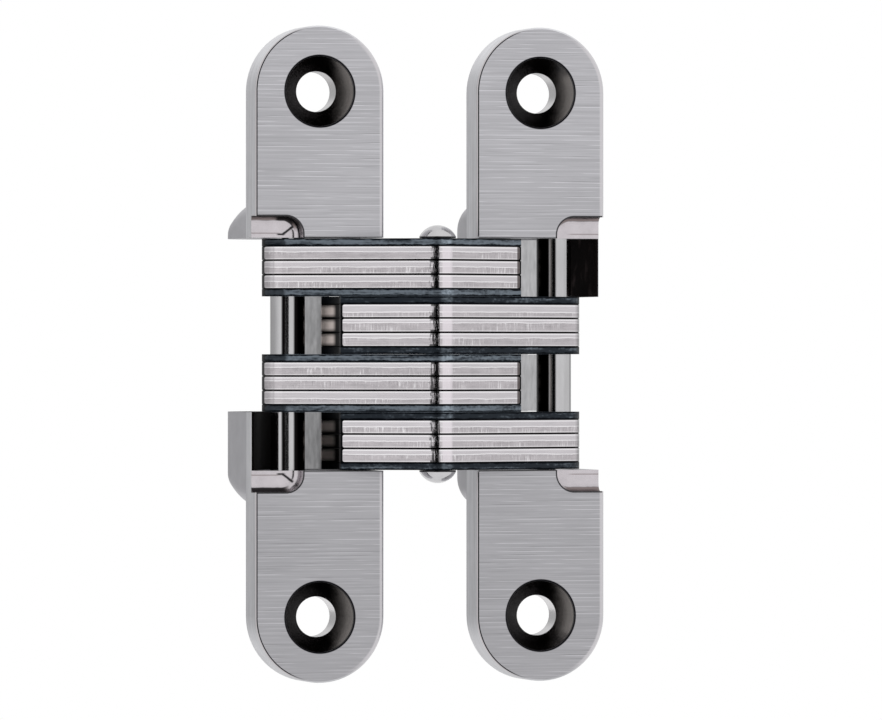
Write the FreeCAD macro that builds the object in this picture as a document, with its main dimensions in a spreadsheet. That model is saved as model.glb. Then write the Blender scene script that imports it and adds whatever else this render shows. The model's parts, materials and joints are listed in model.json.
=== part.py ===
import FreeCAD
import Part
import Sketcher
import math
import os

# Concealed hinge for a door edge: two equal leaves let into the door and its
# frame, joined by four packs of crossed link plates that fold away inside them.
#
# Frame: millimetres, hinge open at 180 degrees and upright. X runs across the two
# leaves, Y runs into the leaves from their front faces at Y = 0, Z is up, and the
# origin is midway between the leaves at half their height. Half a turn about Y
# carries each left-hand piece onto its right-hand twin.

SIZES = {
    # leaf plate
    "leaf_length": 95.25,
    "leaf_width": 19.05,
    "leaf_gap": 14.0,
    "plate_thickness": 6.5,
    "screw_spacing": 76.2,
    "screw_bore": 5.9,
    "sink_diameter": 10.3,
    "sink_angle": 82.0,
    # cup behind the plate
    "back_wall": 0.85,
    "cup_front_half": 22.4,
    "cup_back_half": 18.6,
    "cup_end_bulge": 42.0,
    "cup_end_round": 2.8,
    "cup_outer_corner_round": 5.2,
    "cup_inner_corner_round": 2.95,
    "cup_inner_sweep": 45.0,
    "front_wall_edge": 0.4,
    "face_edge_chamfer": 0.3,
    "outer_wall_setback": 3.0,
    "tail_opening_depth": 14.4,
    "slide_opening_angle": 68.0,
    "window_inset": 12.9,
    "window_depth": 16.3,
    "window_lean": 27.0,
    # recess that clears the rivet head when the hinge is shut
    "recess_inset": 12.0,
    "recess_height": 3.1,
    "recess_corner": 2.6,
    "recess_floor_round": 1.1,
    # linkage
    "centre_pivot_stand": 4.2,
    "closed_half_gap": 1.0,
    "closed_pivot_margin": 3.15,
    "slide_pin_inset": 13.0,
    "slide_pin_depth": 5.8,
    "slide_home_inset": 4.8,
    # link plates
    "link_thickness": 2.08,
    "spacer_thickness": 1.04,
    "links_in_pack": 3.0,
    "pack_clearance": 0.08,
    "end_clearance": 0.1,
    "link_slide_radius": 3.75,
    "link_centre_radius": 3.2,
    "link_tail_radius": 2.35,
    "link_lobe_radius": 2.9,
    "link_lobe_offset": 1.6,
    "link_lobe_rise": 0.9,
    "link_elbow_inset": 6.5,
    "link_front_proud": 0.3,
    "link_notch_depth": 1.1,
    "link_edge_chamfer": 0.12,
    # pins
    "slide_pin_diameter": 5.06,
    "pivot_pin_diameter": 3.2,
    "centre_pin_diameter": 3.6,
    "rivet_head_diameter": 5.3,
    "rivet_head_height": 1.85,
    "rivet_rim_share": 0.12,
    "pivot_pin_reach": 22.2,
    "slot_pocket_depth": 0.8,
    "pin_chamfer": 0.2,
    # fits, each a gap between two surfaces
    "running_fit": 0.05,
    "seated_fit": 0.02,
    "slot_fit": 0.15,
    "tail_row_room": 0.22,
    "slide_row_room": 0.2,
}

TURN_LEFT = 0
TURN_RIGHT = 180

# How far a cut's outline runs past the material, and how near to a plane an
# edge's points lie when it counts as lying in it.
CUT_MARGIN = 1.0
PLANE_TOLERANCE = 1e-6


def point(x, y):
    """A point of a sketch or of the plan."""
    return FreeCAD.Vector(x, y, 0)


def polar(centre, radius, degrees):
    """The point at a radius and an angle from a centre."""
    angle = math.radians(degrees)
    return centre + point(radius * math.cos(angle), radius * math.sin(angle))


def bearing(vector):
    """Angle of a plan vector, in degrees."""
    return math.degrees(math.atan2(vector.y, vector.x))


def turned(vector, degrees):
    """A plan vector turned about Z."""
    return FreeCAD.Rotation(FreeCAD.Vector(0, 0, 1), degrees).multVec(vector)


def slide_row_pin_room(sizes):
    """Room round the slide pin's path where link ends run on the pin."""
    return sizes["link_slide_radius"] + sizes["slide_row_room"]


def tail_row_pin_room(sizes):
    """Room round the slide pin's path where the bare pin runs past the tails."""
    return sizes["slide_pin_diameter"] / 2 + sizes["tail_row_room"]


class Linkage:
    """Plan of the mechanism, worked out from the sizes, seen in the left leaf.

    The left links turn about a pivot fixed in the left leaf and carry the centre
    pivot; the right links turn on the centre pivot and slide in the left leaf.
    The fixed pivot lies where one turn takes the centre pivot from its open place
    to its closed one, and the slide pin ends at its home inset in the cup.
    """

    def __init__(self, sizes):
        half_gap = sizes["leaf_gap"] / 2
        self.half_gap = half_gap
        self.centre_open = point(0, -sizes["centre_pivot_stand"])
        outer_edge = half_gap + sizes["leaf_width"]
        self.centre_shut = point(
            sizes["closed_pivot_margin"] - outer_edge, -sizes["closed_half_gap"]
        )
        self.slide_open = point(
            -half_gap - sizes["slide_pin_inset"], sizes["slide_pin_depth"]
        )
        arm = self.slide_open - self.centre_open
        home_x = -half_gap - sizes["slide_home_inset"]
        reach = (home_x - self.centre_shut.x) / arm.Length
        self.slide_turn = math.degrees(math.acos(reach)) - bearing(arm)
        self.pivot_turn = -180 - self.slide_turn
        self.centre_turn = self.slide_turn - self.pivot_turn
        chord = self.centre_shut - self.centre_open
        half_angle = math.radians(-self.pivot_turn / 2)
        rise = chord.Length / 2 / math.tan(half_angle)
        middle = (self.centre_open + self.centre_shut) / 2
        across = point(chord.y, -chord.x).normalize()
        self.pivot = middle + across * rise
        self.slide_arc = Part.Circle(*[self.slide_at(part) for part in (0, 0.5, 1)])
        self.slide_centre = self.slide_arc.Center
        self.slide_radius = self.slide_arc.Radius
        self.slide_shut = self.slide_at(1)
        slide_row_depth = self.slide_shut.y + slide_row_pin_room(sizes)
        self.cup_depth = slide_row_depth + sizes["back_wall"]

    def centre_at(self, part):
        """Centre pivot when the hinge is this part of the way shut."""
        return self.pivot + turned(self.centre_open - self.pivot, self.pivot_turn * part)

    def slide_at(self, part):
        """Slide pin in the left leaf when the hinge is this part of the way shut."""
        arm = turned(self.slide_open - self.centre_open, self.slide_turn * part)
        return self.centre_at(part) + arm

    def inset(self, distance, depth):
        """Plan point by its distance in from the leaf's inner edge, and its depth."""
        return point(-self.half_gap - distance, depth)


def make_sheet(document, name, sizes):
    """Write sizes into a spreadsheet, one alias for each."""
    sheet = document.addObject("Spreadsheet::Sheet", name)
    for row, (name, value) in enumerate(sizes.items(), start=1):
        sheet.set(f"A{row}", name)
        sheet.set(f"B{row}", repr(float(value)))
        sheet.setAlias(f"B{row}", name)
    document.recompute()
    return sheet


def derived_sizes(sizes, linkage):
    """Sizes that follow from the driving ones, for the second sheet."""
    pack = sizes["links_in_pack"] * sizes["link_thickness"] + 2 * sizes["spacer_thickness"]
    pitch = pack + sizes["pack_clearance"]
    stack = 2 * pitch
    pocket = stack + sizes["end_clearance"]
    return {
        "pack_height": pack,
        "pack_pitch": pitch,
        "stack_half": stack,
        "pocket_half": pocket,
        "slot_reach": pocket + sizes["slot_pocket_depth"],
        "recess_reach": pocket + sizes["recess_height"],
        "slide_pin_reach": pocket + sizes["slot_pocket_depth"] - sizes["running_fit"],
        "pivot_inset": -linkage.pivot.x,
        "pivot_y": linkage.pivot.y,
        "slide_x": -linkage.slide_open.x,
        "pivot_hole": sizes["pivot_pin_diameter"] + 2 * sizes["running_fit"],
        "slide_hole": sizes["slide_pin_diameter"] + 2 * sizes["running_fit"],
        "centre_hole": sizes["centre_pin_diameter"] + 2 * sizes["running_fit"],
        "pivot_seat": sizes["pivot_pin_diameter"] + 2 * sizes["seated_fit"],
    }


def new_body(document, name):
    """A body whose name and label are the sub-part's."""
    body = document.addObject("PartDesign::Body", name)
    body.Label = name
    return body


def origin_plane(body, role):
    """One of the body's own origin planes, such as XY_Plane."""
    return next(item for item in body.Origin.OriginFeatures if item.Role == role)


def new_sketch(body, name, role):
    """An empty sketch on one of the body's origin planes."""
    sketch = body.newObject("Sketcher::SketchObject", name)
    sketch.AttachmentSupport = (origin_plane(body, role), [""])
    sketch.MapMode = "FlatFace"
    return sketch


def draw_loop(sketch, start, steps):
    """Draw a closed outline.

    Each step is an end point, or a pair of a middle point and an end point for an
    arc. The last step ends at the start.
    """
    here = start
    for step in steps:
        if isinstance(step, tuple):
            middle, end = step
            sketch.addGeometry(Part.Arc(here, middle, end), False)
        else:
            end = step
            sketch.addGeometry(Part.LineSegment(here, end), False)
        here = end
    sketch.detectMissingPointOnPointConstraints(1e-5)
    sketch.makeMissingPointOnPointCoincident()


def draw_circle(sketch, name, diameter, across, along):
    """Draw a circle bound to sheet expressions for its size and its centre."""
    circle = Part.Circle(FreeCAD.Vector(0, 0, 0), FreeCAD.Vector(0, 0, 1), 1)
    geometry = sketch.addGeometry(circle, False)
    wanted = {
        "size": (Sketcher.Constraint("Diameter", geometry, 2.0), diameter),
        "across": (Sketcher.Constraint("DistanceX", -1, 1, geometry, 3, 1.0), across),
        "along": (Sketcher.Constraint("DistanceY", -1, 1, geometry, 3, 1.0), along),
    }
    for part, (constraint, expression) in wanted.items():
        index = sketch.addConstraint(constraint)
        label = f"{name}_{part}"
        sketch.renameConstraint(index, label)
        sketch.setExpression(f"Constraints.{label}", expression)


def pad(body, sketch, name, length, midplane=False, reverse=False):
    """Pad a sketch by a sheet expression."""
    feature = body.newObject("PartDesign::Pad", name)
    feature.Profile = sketch
    feature.setExpression("Length", length)
    feature.SideType = "Symmetric" if midplane else "One side"
    feature.Reversed = reverse
    sketch.Visibility = False
    return feature


def pocket(body, sketch, name, length, midplane=False, reverse=False):
    """Cut a sketch's outline out of the body, by a sheet expression."""
    feature = body.newObject("PartDesign::Pocket", name)
    feature.Profile = sketch
    feature.setExpression("Length", length)
    feature.SideType = "Symmetric" if midplane else "One side"
    feature.Reversed = reverse
    sketch.Visibility = False
    return feature


def shifted(sketch, height):
    """Lift a sketch off its plane by a sheet expression."""
    sketch.setExpression(".AttachmentOffset.Base.z", height)
    return sketch


def tangent_point(centre, radius, outside, side):
    """Where a line from an outside point touches a circle; side is 1 or -1."""
    gap = outside - centre
    lean = math.degrees(math.acos(radius / gap.Length))
    return polar(centre, radius, bearing(gap) + side * lean)


def common_tangent(first, first_radius, second, second_radius, side):
    """Touching points of the outer tangent of two circles; side is 1 or -1."""
    gap = second - first
    lean = math.degrees(math.acos((first_radius - second_radius) / gap.Length))
    angle = bearing(gap) + side * lean
    return polar(first, first_radius, angle), polar(second, second_radius, angle)


def arc_middle(centre, radius, start, end, clockwise):
    """Middle point of the arc between two points of a circle."""
    first = bearing(start - centre)
    sweep = (bearing(end - centre) - first) % 360
    if clockwise:
        sweep -= 360
    return polar(centre, radius, first + sweep / 2)


def edges_where(shape, test):
    """Names of a shape's edges whose middle point passes a test."""
    names = []
    for index, edge in enumerate(shape.Edges, start=1):
        middle = edge.valueAt((edge.FirstParameter + edge.LastParameter) / 2)
        if test(edge, middle):
            names.append(f"Edge{index}")
    return names


def draw_link_outline(sketch, sizes, linkage):
    """Outline of a left link: tail on the fixed pivot, elbow, bar, slide end.

    The tail runs forward inside the left cup, turns at the elbow just in front of
    the leaf's face, passes the centre pivot and dips to the slide pin in the
    right cup. Behind the bar it stays clear of the door's edge at both leaves.
    """
    proud = sizes["link_front_proud"]
    notch = sizes["link_notch_depth"]
    centre = linkage.centre_open
    slide = point(-linkage.slide_open.x, linkage.slide_open.y)
    slide_radius = sizes["link_slide_radius"]
    centre_radius = sizes["link_centre_radius"]
    tail_radius = sizes["link_tail_radius"]
    lobe_radius = sizes["link_lobe_radius"]
    lobe = linkage.pivot - point(sizes["link_lobe_offset"], sizes["link_lobe_rise"])
    elbow = linkage.inset(sizes["link_elbow_inset"], -proud)

    bar_left = tangent_point(centre, centre_radius, elbow, 1)
    bar_right, slide_front = common_tangent(centre, centre_radius, slide, slide_radius, -1)
    shoulder = point(linkage.half_gap + proud, -proud)
    slide_rear = tangent_point(slide, slide_radius, shoulder, -1)
    tail_inner = point(linkage.pivot.x + tail_radius, linkage.pivot.y)
    tail_back, lobe_back = common_tangent(linkage.pivot, tail_radius, lobe, lobe_radius, -1)
    lobe_front = point(lobe.x - lobe_radius, lobe.y)
    notch_top = elbow + point(0, notch)
    notch_middle = point(elbow.x + notch, (notch_top.y + lobe_front.y) / 2)

    draw_loop(
        sketch,
        elbow,
        [
            bar_left,
            (polar(centre, centre_radius, -90), bar_right),
            slide_front,
            (arc_middle(slide, slide_radius, slide_front, slide_rear, False), slide_rear),
            shoulder,
            point(tail_inner.x, -proud),
            tail_inner,
            (arc_middle(linkage.pivot, tail_radius, tail_inner, tail_back, False), tail_back),
            lobe_back,
            (arc_middle(lobe, lobe_radius, lobe_back, lobe_front, False), lobe_front),
            (notch_middle, notch_top),
            elbow,
        ],
    )


def is_rim(edge):
    """True for an edge that lies flat and isn't a hole's full circle."""
    box = edge.BoundBox
    return box.ZLength < PLANE_TOLERANCE and not edge.isClosed()


def make_link(document, name, sizes, linkage, thickness, chamfered):
    """One link plate or spacer, lying on the plane Z = 0."""
    body = new_body(document, name)
    outline = new_sketch(body, f"{name}_outline", "XY_Plane")
    draw_link_outline(outline, sizes, linkage)
    draw_circle(outline, "pivot", "derived.pivot_hole", "-derived.pivot_inset", "derived.pivot_y")
    draw_circle(outline, "centre", "derived.centre_hole", "0 mm", "-sizes.centre_pivot_stand")
    draw_circle(outline, "slide", "derived.slide_hole", "derived.slide_x", "sizes.slide_pin_depth")
    blank = pad(body, outline, f"{name}_blank", thickness)
    if chamfered:
        document.recompute()
        rims = edges_where(blank.Shape, lambda edge, middle: is_rim(edge))
        edge = body.newObject("PartDesign::Chamfer", f"{name}_edge")
        edge.Base = (blank, rims)
        edge.setExpression("Size", "sizes.link_edge_chamfer")
    return body


def cup_profile(sketch, sizes, linkage):
    """Side view of the cup: two bulging ends that draw in towards the flat back.

    The sketch lies in the plane of Y and Z and starts at the plate's rear face.
    """
    front = point(sizes["plate_thickness"], sizes["cup_front_half"])
    back = point(linkage.cup_depth, sizes["cup_back_half"])
    bulge = sizes["cup_end_bulge"]
    chord = back - front
    outward = point(-chord.y, chord.x).normalize()
    rise = bulge - math.sqrt(bulge**2 - (chord.Length / 2) ** 2)
    hip = (front + back) / 2 + outward * rise

    def mirrored(spot):
        return point(spot.x, -spot.y)

    draw_loop(
        sketch,
        front,
        [(hip, back), mirrored(back), (mirrored(hip), mirrored(front)), front],
    )


def inner_sweep(sizes, depth):
    """How far the cup's inner side has swept in from the leaf's edge at a depth."""
    sweep = sizes["cup_inner_sweep"]
    run = depth - sizes["plate_thickness"]
    return sweep - math.sqrt(sweep**2 - run**2)


def trim_plan(sketch, sizes, linkage):
    """Plan of what is cut off the cup's back corners, outer and inner side."""
    width = sizes["leaf_width"]
    plate = sizes["plate_thickness"]
    back = linkage.cup_depth
    corner = sizes["cup_outer_corner_round"]
    inset = linkage.inset
    round_start = inset(width, back - corner)
    round_end = inset(width - corner, back)
    round_middle = polar(inset(width - corner, back - corner), corner, 135)
    draw_loop(
        sketch,
        round_start,
        [
            (round_middle, round_end),
            inset(width - corner, back + CUT_MARGIN),
            inset(width + CUT_MARGIN, back + CUT_MARGIN),
            inset(width + CUT_MARGIN, back - corner),
            round_start,
        ],
    )
    middle = (plate + back) / 2
    swept_middle = inset(inner_sweep(sizes, middle), middle)
    swept_back = inset(inner_sweep(sizes, back), back)
    draw_loop(
        sketch,
        inset(0, plate),
        [
            (swept_middle, swept_back),
            swept_back + point(0, CUT_MARGIN),
            inset(-CUT_MARGIN, back + CUT_MARGIN),
            inset(-CUT_MARGIN, plate),
            inset(0, plate),
        ],
    )


def hollow_back(sizes, linkage, pin_room, last_angle):
    """Steps round a hollow's front outer edge and along its curved back wall.

    The wall keeps pin_room round the slide pin's path and ends beside the pin's
    home at the given angle.
    """
    setback = sizes["outer_wall_setback"]
    back_arc = linkage.slide_radius + pin_room
    mouth = linkage.inset(sizes["leaf_width"] - sizes["front_wall_edge"], setback)
    touch = tangent_point(linkage.slide_centre, back_arc, mouth, -1)
    home = linkage.slide_shut
    home_back = home + (home - linkage.slide_centre).normalize() * pin_room
    last = polar(home, pin_room, last_angle)
    return [
        linkage.inset(sizes["leaf_width"] + CUT_MARGIN, setback),
        mouth,
        touch,
        (arc_middle(linkage.slide_centre, back_arc, touch, home_back, True), home_back),
        (arc_middle(home, pin_room, home_back, last, True), last),
    ]


def tail_row_plan(sketch, sizes, linkage):
    """Hollow of a row where tails turn: open at the inner side for most of it."""
    inset = linkage.inset
    opening = sizes["tail_opening_depth"]
    steps = hollow_back(sizes, linkage, tail_row_pin_room(sizes), 0)
    side = steps[-1][1].x
    start = inset(sizes["leaf_width"] + CUT_MARGIN, -CUT_MARGIN)
    steps += [
        point(side, opening),
        inset(-CUT_MARGIN, opening),
        inset(-CUT_MARGIN, -CUT_MARGIN),
        start,
    ]
    draw_loop(sketch, start, steps)


def slide_row_plan(sketch, sizes, linkage):
    """Hollow of a row where slide ends run: open at the inner side to its back."""
    inset = linkage.inset
    angle = sizes["slide_opening_angle"]
    steps = hollow_back(sizes, linkage, slide_row_pin_room(sizes), angle)
    last = steps[-1][1]
    start = inset(sizes["leaf_width"] + CUT_MARGIN, -CUT_MARGIN)
    steps += [inset(-CUT_MARGIN, last.y), inset(-CUT_MARGIN, -CUT_MARGIN), start]
    draw_loop(sketch, start, steps)


def window_plan(sketch, sizes, linkage):
    """Plan of the window that leaves three rows open on the outer side."""
    beyond = linkage.cup_depth + CUT_MARGIN
    edge = sizes["window_inset"]
    depth = sizes["window_depth"]
    lean = math.tan(math.radians(sizes["window_lean"])) * (beyond - depth)
    outside = sizes["leaf_width"] + CUT_MARGIN
    inset = linkage.inset
    draw_loop(
        sketch,
        inset(edge, -CUT_MARGIN),
        [
            inset(edge, depth),
            inset(edge - lean, beyond),
            inset(outside, beyond),
            inset(outside, -CUT_MARGIN),
            inset(edge, -CUT_MARGIN),
        ],
    )


def slot_plan(sketch, sizes, linkage):
    """Plan of the curved slot that the slide pin's ends run in."""
    room = sizes["slide_pin_diameter"] / 2 + sizes["slot_fit"]
    centre = linkage.slide_centre
    outer = linkage.slide_radius + room
    inner = linkage.slide_radius - room
    first = linkage.slide_open
    last = linkage.slide_shut
    first_out = (first - centre).normalize()
    last_out = (last - centre).normalize()
    outer_start = centre + first_out * outer
    outer_end = centre + last_out * outer
    inner_start = centre + last_out * inner
    inner_end = centre + first_out * inner
    first_tip = polar(first, room, bearing(first_out) + 90)
    last_tip = polar(last, room, bearing(last_out) - 90)
    draw_loop(
        sketch,
        outer_start,
        [
            (arc_middle(centre, outer, outer_start, outer_end, True), outer_end),
            (last_tip, inner_start),
            (arc_middle(centre, inner, inner_start, inner_end, False), inner_end),
            (first_tip, outer_start),
        ],
    )


def plate_outline(sketch, sizes, linkage):
    """Front view of the leaf: straight sides and half-round ends."""
    radius = sizes["leaf_width"] / 2
    straight = sizes["leaf_length"] / 2 - radius
    inner = -linkage.half_gap
    outer = inner - sizes["leaf_width"]
    middle = (inner + outer) / 2
    draw_loop(
        sketch,
        point(inner, -straight),
        [
            point(inner, straight),
            (point(middle, straight + radius), point(outer, straight)),
            point(outer, -straight),
            (point(middle, -straight - radius), point(inner, -straight)),
        ],
    )


def recess_outline(sketch, sizes, linkage, pocket_half):
    """Front view of the two recesses that take the rivet heads, open outwards."""
    inner = -linkage.half_gap - sizes["recess_inset"]
    outer = -linkage.half_gap - sizes["leaf_width"] - CUT_MARGIN
    foot = pocket_half - CUT_MARGIN
    top = pocket_half + sizes["recess_height"]
    corner = sizes["recess_corner"]
    sag = corner * (1 - math.sqrt(0.5))
    for side in (1, -1):
        draw_loop(
            sketch,
            point(inner, side * foot),
            [
                point(inner, side * (top - corner)),
                (point(inner - sag, side * (top - sag)), point(inner - corner, side * top)),
                point(outer, side * top),
                point(outer, side * foot),
                point(inner, side * foot),
            ],
        )


def round_edges(document, body, base, name, radius, test):
    """Round the edges of a feature that pass a test."""
    document.recompute()
    feature = body.newObject("PartDesign::Fillet", name)
    feature.Base = (base, edges_where(base.Shape, test))
    feature.setExpression("Radius", radius)
    return feature


def cut_row(body, name, top, height, draw):
    """Pocket a plan outline from a level down, both given by the sheet."""
    sketch = shifted(new_sketch(body, f"{name}_plan", "XY_Plane"), top)
    draw(sketch)
    return pocket(body, sketch, name, height)


def make_leaf(document, name, sizes, linkage, follow):
    """The left leaf: one casting of face plate and cup, hollowed for the links."""
    body = new_body(document, name)
    inner = -linkage.half_gap
    outer = inner - sizes["leaf_width"]
    pocket_half = follow["pocket_half"]

    profile = new_sketch(body, f"{name}_cup_profile", "YZ_Plane")
    cup_profile(profile, sizes, linkage)
    shifted(profile, "-(sizes.leaf_gap / 2 + sizes.leaf_width)")
    pad(body, profile, f"{name}_cup", "sizes.leaf_width")
    trims = new_sketch(body, f"{name}_trim_plan", "XY_Plane")
    trim_plan(trims, sizes, linkage)
    trimmed = pocket(body, trims, f"{name}_trim", "sizes.leaf_length", midplane=True)
    swept = inner - inner_sweep(sizes, linkage.cup_depth)
    cornered = round_edges(
        document, body, trimmed, f"{name}_cup_inner_corner", "sizes.cup_inner_corner_round",
        lambda edge, middle: abs(middle.y - linkage.cup_depth) < PLANE_TOLERANCE
        and abs(middle.x - swept) < PLANE_TOLERANCE,
    )
    round_edges(
        document, body, cornered, f"{name}_cup_ends", "sizes.cup_end_round",
        lambda edge, middle: abs(middle.z) > pocket_half
        and middle.y > sizes["plate_thickness"] + PLANE_TOLERANCE,
    )
    outline = new_sketch(body, f"{name}_plate_outline", "XZ_Plane")
    plate_outline(outline, sizes, linkage)
    face_plate = pad(body, outline, f"{name}_plate", "sizes.plate_thickness", reverse=True)
    document.recompute()
    face_edge = body.newObject("PartDesign::Chamfer", f"{name}_face_edge")
    face_rim = edges_where(
        face_plate.Shape, lambda edge, middle: abs(middle.y) < PLANE_TOLERANCE
    )
    face_edge.Base = (face_plate, face_rim)
    face_edge.setExpression("Size", "sizes.face_edge_chamfer")

    def tail_row(sketch):
        tail_row_plan(sketch, sizes, linkage)

    def slide_row(sketch):
        slide_row_plan(sketch, sizes, linkage)

    def window(sketch):
        window_plan(sketch, sizes, linkage)

    edge_row = "derived.pocket_half - derived.pack_pitch"
    cut_row(body, f"{name}_row_one", "derived.pocket_half", edge_row, slide_row)
    cut_row(body, f"{name}_row_two", "derived.pack_pitch", "derived.pack_pitch", tail_row)
    cut_row(body, f"{name}_row_three", "0 mm", "derived.pack_pitch", slide_row)
    cut_row(body, f"{name}_row_four", "-derived.pack_pitch", edge_row, tail_row)
    window_height = "derived.pocket_half + derived.pack_pitch"
    cut_row(body, f"{name}_window", "derived.pocket_half", window_height, window)

    slot = new_sketch(body, f"{name}_slot_plan", "XY_Plane")
    slot_plan(slot, sizes, linkage)
    pocket(body, slot, f"{name}_slot", "2 * derived.slot_reach", midplane=True)
    seat = new_sketch(body, f"{name}_seat_plan", "XY_Plane")
    draw_circle(seat, "seat", "derived.pivot_seat", "-derived.pivot_inset", "derived.pivot_y")
    pocket(body, seat, f"{name}_seat", "sizes.leaf_length", midplane=True)

    recess = new_sketch(body, f"{name}_recess_outline", "XZ_Plane")
    recess_outline(recess, sizes, linkage, pocket_half)
    recesses = pocket(body, recess, f"{name}_recess", "sizes.outer_wall_setback")
    floor = sizes["outer_wall_setback"]
    top = follow["recess_reach"]
    round_edges(
        document, body, recesses, f"{name}_recess_floor", "sizes.recess_floor_round",
        lambda edge, middle: abs(middle.y - floor) < PLANE_TOLERANCE
        and outer + PLANE_TOLERANCE < middle.x < inner
        and pocket_half + PLANE_TOLERANCE < abs(middle.z) < top + PLANE_TOLERANCE,
    )

    document.recompute()
    holes = new_sketch(body, f"{name}_screw_places", "XZ_Plane")
    across = "-(sizes.leaf_gap + sizes.leaf_width) / 2"
    draw_circle(holes, "upper", "sizes.screw_bore", across, "sizes.screw_spacing / 2")
    draw_circle(holes, "lower", "sizes.screw_bore", across, "-sizes.screw_spacing / 2")
    document.recompute()
    screws = body.newObject("PartDesign::Hole", f"{name}_screws")
    screws.Profile = holes
    screws.DepthType = "ThroughAll"
    screws.HoleCutType = "Countersink"
    screws.setExpression("Diameter", "sizes.screw_bore")
    screws.HoleCutCustomValues = True
    screws.setExpression("HoleCutDiameter", "sizes.sink_diameter")
    screws.setExpression("HoleCutCountersinkAngle", "sizes.sink_angle")
    holes.Visibility = False
    return body


def make_pin(document, name, diameter, reach, across, along, chamfer):
    """A plain pin along Z, half above and half below the middle."""
    body = new_body(document, name)
    section = new_sketch(body, f"{name}_section", "XY_Plane")
    draw_circle(section, "pin", diameter, across, along)
    shank = pad(body, section, f"{name}_shank", f"2 * {reach}", midplane=True)
    document.recompute()
    ends = edges_where(shank.Shape, lambda edge, middle: isinstance(edge.Curve, Part.Circle))
    edge = body.newObject("PartDesign::Chamfer", f"{name}_ends")
    edge.Base = (shank, ends)
    edge.setExpression("Size", chamfer)
    return body


def make_rivet(document, name, sizes, follow):
    """The centre pin: a shank with a domed head at each end, turned in one."""
    body = new_body(document, name)
    profile = new_sketch(body, f"{name}_profile", "YZ_Plane")
    axis_place = -sizes["centre_pivot_stand"]
    shank = sizes["centre_pin_diameter"] / 2
    head = sizes["rivet_head_diameter"] / 2
    height = sizes["rivet_head_height"]
    seat = follow["stack_half"] + sizes["running_fit"] / 2
    rim = height * sizes["rivet_rim_share"]
    dome = height - rim
    dome_radius = (head**2 + dome**2) / (2 * dome)
    dome_centre = seat + height - dome_radius
    half_way = math.asin(head / dome_radius) / 2
    bulge = point(
        axis_place + dome_radius * math.sin(half_way),
        dome_centre + dome_radius * math.cos(half_way),
    )

    def below(spot):
        return point(spot.x, -spot.y)

    top = point(axis_place, seat + height)
    rim_top = point(axis_place + head, seat + rim)
    rim_foot = point(axis_place + head, seat)
    neck = point(axis_place + shank, seat)
    draw_loop(
        profile,
        top,
        [
            (bulge, rim_top),
            rim_foot,
            neck,
            below(neck),
            below(rim_foot),
            below(rim_top),
            (below(bulge), below(top)),
            top,
        ],
    )
    centre_line = new_sketch(body, f"{name}_axis", "YZ_Plane")
    line = Part.LineSegment(below(top), top)
    centre_line.addGeometry(line, False)
    turned_part = body.newObject("PartDesign::Revolution", f"{name}_turned")
    turned_part.Profile = profile
    turned_part.ReferenceAxis = (centre_line, ["Edge1"])
    turned_part.Angle = 360
    profile.Visibility = False
    centre_line.Visibility = False
    return body


def place(body, height, turn):
    """Lift a piece to its height, then give it the left or the right turn."""
    spin = FreeCAD.Rotation(FreeCAD.Vector(0, 1, 0), turn)
    lift = FreeCAD.Placement(FreeCAD.Vector(0, 0, height), FreeCAD.Rotation())
    body.Placement = FreeCAD.Placement(FreeCAD.Vector(0, 0, 0), spin).multiply(lift)


def make_pack(document, side, turn, sizes, linkage, follow):
    """The six links and four spacers of one side, in its two rows."""
    pieces = []
    link_count = 0
    spacer_count = 0
    for row_foot in (0, -2 * follow["pack_pitch"]):
        level = row_foot + sizes["pack_clearance"] / 2
        layers = ["spacer"] + ["link"] * int(sizes["links_in_pack"]) + ["spacer"]
        for layer in layers:
            if layer == "link":
                link_count += 1
                name = f"{side}_link_{link_count}"
            else:
                spacer_count += 1
                name = f"{side}_spacer_{spacer_count}"
            thickness = f"sizes.{layer}_thickness"
            piece = make_link(document, name, sizes, linkage, thickness, layer == "link")
            place(piece, level, turn)
            pieces.append(piece)
            level += sizes[f"{layer}_thickness"]
    return pieces


def build():
    """Make the document and return it with its sub-parts."""
    document = FreeCAD.newDocument("concealed_hinge")
    sizes = SIZES
    linkage = Linkage(sizes)
    follow = derived_sizes(sizes, linkage)
    make_sheet(document, "sizes", sizes)
    make_sheet(document, "derived", follow)
    pieces = []
    for side, turn in (("left", TURN_LEFT), ("right", TURN_RIGHT)):
        leaf = make_leaf(document, f"{side}_leaf", sizes, linkage, follow)
        place(leaf, 0, turn)
        pieces.append(leaf)
        pivot_pin = make_pin(
            document, f"{side}_pivot_pin", "sizes.pivot_pin_diameter",
            "sizes.pivot_pin_reach", "-derived.pivot_inset", "derived.pivot_y",
            "sizes.pin_chamfer",
        )
        place(pivot_pin, 0, turn)
        pieces.append(pivot_pin)
        slide_pin = make_pin(
            document, f"{side}_slide_pin", "sizes.slide_pin_diameter",
            "derived.slide_pin_reach", "-derived.slide_x", "sizes.slide_pin_depth",
            "sizes.pin_chamfer",
        )
        place(slide_pin, 0, turn)
        pieces.append(slide_pin)
        pieces += make_pack(document, side, turn, sizes, linkage, follow)
    pieces.append(make_rivet(document, "centre_pin", sizes, follow))
    document.recompute()
    return document, pieces, linkage


def check(document, pieces):
    """Stop if any object failed, or a sub-part's shape isn't one valid solid."""
    for item in document.Objects:
        if "Invalid" in item.State or "Error" in item.State:
            raise RuntimeError(f"{item.Name} failed: {item.State}")
    for piece in pieces:
        shape = piece.Shape
        if shape.isNull() or not shape.isValid():
            raise RuntimeError(f"{piece.Label} has no valid shape")
        if len(shape.Solids) != 1:
            raise RuntimeError(f"{piece.Label} has {len(shape.Solids)} solids")


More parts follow.
